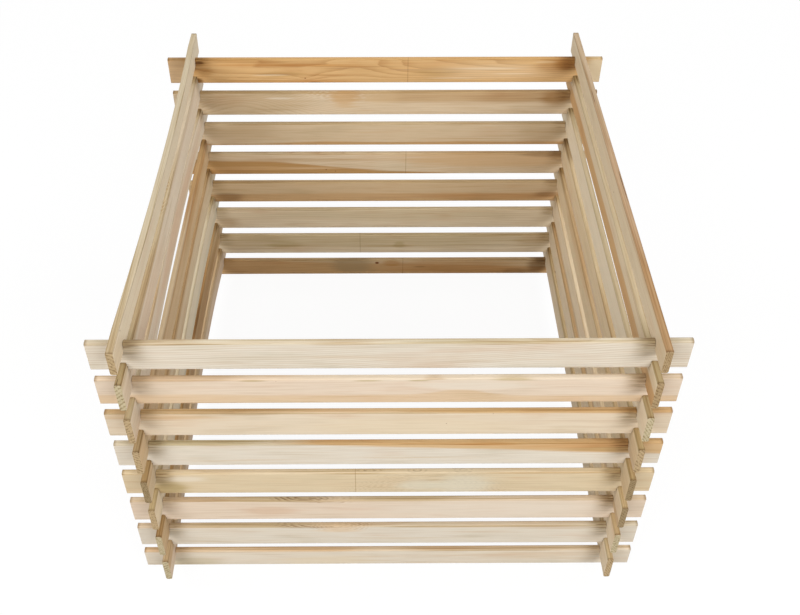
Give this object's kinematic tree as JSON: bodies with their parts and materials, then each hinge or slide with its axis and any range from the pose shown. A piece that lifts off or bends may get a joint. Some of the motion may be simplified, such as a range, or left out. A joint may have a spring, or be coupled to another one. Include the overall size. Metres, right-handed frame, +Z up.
{
  "type": "slatted compost bin",
  "caption": "Square open-topped compost bin of notched timber slats, stacked crosswise with half-lapped corners and air gaps, no fasteners.",
  "frame": {"origin": "on the ground, in the middle of the square plan", "axes": "+Z up, front wall facing -Y, side walls facing -X and +X"},
  "size_m": [1, 1, 0.7057],
  "materials": {
    "pine_cream": "planed, pale",
    "pine_straw": "planed, yellowish",
    "pine_honey": "planed, resinous heartwood",
    "pine_tan": "planed, brownish",
    "pine_greyed": "planed, greenish grey from pressure treatment"
  },
  "bodies": {
    "base_course": {"front_slat_1": "pine_cream", "back_slat_1": "pine_honey"},
    "side_course_1": {"left_slat_1": "pine_tan", "right_slat_1": "pine_greyed"},
    "cross_course_2": {"front_slat_2": "pine_cream", "back_slat_2": "pine_greyed"},
    "side_course_2": {"left_slat_2": "pine_greyed", "right_slat_2": "pine_tan"},
    "cross_course_3": {"front_slat_3": "pine_cream", "back_slat_3": "pine_greyed"},
    "side_course_3": {"left_slat_3": "pine_straw", "right_slat_3": "pine_greyed"},
    "cross_course_4": {"front_slat_4": "pine_straw", "back_slat_4": "pine_tan"},
    "side_course_4": {"left_slat_4": "pine_greyed", "right_slat_4": "pine_tan"},
    "cross_course_5": {"front_slat_5": "pine_cream", "back_slat_5": "pine_greyed"},
    "side_course_5": {"left_slat_5": "pine_tan", "right_slat_5": "pine_greyed"},
    "cross_course_6": {"front_slat_6": "pine_straw", "back_slat_6": "pine_greyed"},
    "side_course_6": {"left_slat_6": "pine_greyed", "right_slat_6": "pine_greyed"},
    "cross_course_7": {"front_slat_7": "pine_cream", "back_slat_7": "pine_tan"},
    "side_course_7": {"left_slat_7": "pine_tan", "right_slat_7": "pine_tan"},
    "cross_course_8": {"front_slat_8": "pine_cream", "back_slat_8": "pine_honey"},
    "left_rim": {"left_slat_8": "pine_greyed"},
    "right_rim": {"right_slat_8": "pine_straw"}
  },
  "joints": [
    {"name": "lift_side_course_1", "type": "slide", "parent": "base_course", "child": "side_course_1", "axis": [0, 0, 1], "range_m": [0, 0.04]},
    {"name": "lift_cross_course_2", "type": "slide", "parent": "side_course_1", "child": "cross_course_2", "axis": [0, 0, 1], "range_m": [0, 0.04]},
    {"name": "lift_side_course_2", "type": "slide", "parent": "cross_course_2", "child": "side_course_2", "axis": [0, 0, 1], "range_m": [0, 0.04]},
    {"name": "lift_cross_course_3", "type": "slide", "parent": "side_course_2", "child": "cross_course_3", "axis": [0, 0, 1], "range_m": [0, 0.04]},
    {"name": "lift_side_course_3", "type": "slide", "parent": "cross_course_3", "child": "side_course_3", "axis": [0, 0, 1], "range_m": [0, 0.04]},
    {"name": "lift_cross_course_4", "type": "slide", "parent": "side_course_3", "child": "cross_course_4", "axis": [0, 0, 1], "range_m": [0, 0.04]},
    {"name": "lift_side_course_4", "type": "slide", "parent": "cross_course_4", "child": "side_course_4", "axis": [0, 0, 1], "range_m": [0, 0.04]},
    {"name": "lift_cross_course_5", "type": "slide", "parent": "side_course_4", "child": "cross_course_5", "axis": [0, 0, 1], "range_m": [0, 0.04]},
    {"name": "lift_side_course_5", "type": "slide", "parent": "cross_course_5", "child": "side_course_5", "axis": [0, 0, 1], "range_m": [0, 0.04]},
    {"name": "lift_cross_course_6", "type": "slide", "parent": "side_course_5", "child": "cross_course_6", "axis": [0, 0, 1], "range_m": [0, 0.04]},
    {"name": "lift_side_course_6", "type": "slide", "parent": "cross_course_6", "child": "side_course_6", "axis": [0, 0, 1], "range_m": [0, 0.04]},
    {"name": "lift_cross_course_7", "type": "slide", "parent": "side_course_6", "child": "cross_course_7", "axis": [0, 0, 1], "range_m": [0, 0.04]},
    {"name": "lift_side_course_7", "type": "slide", "parent": "cross_course_7", "child": "side_course_7", "axis": [0, 0, 1], "range_m": [0, 0.04]},
    {"name": "lift_cross_course_8", "type": "slide", "parent": "side_course_7", "child": "cross_course_8", "axis": [0, 0, 1], "range_m": [0, 0.04]},
    {"name": "lift_left_rim", "type": "slide", "parent": "cross_course_8", "child": "left_rim", "axis": [0, 0, 1], "range_m": [0, 0.04]},
    {"name": "lift_right_rim", "type": "slide", "parent": "cross_course_8", "child": "right_rim", "axis": [0, 0, 1], "range_m": [0, 0.04]}
  ]
}
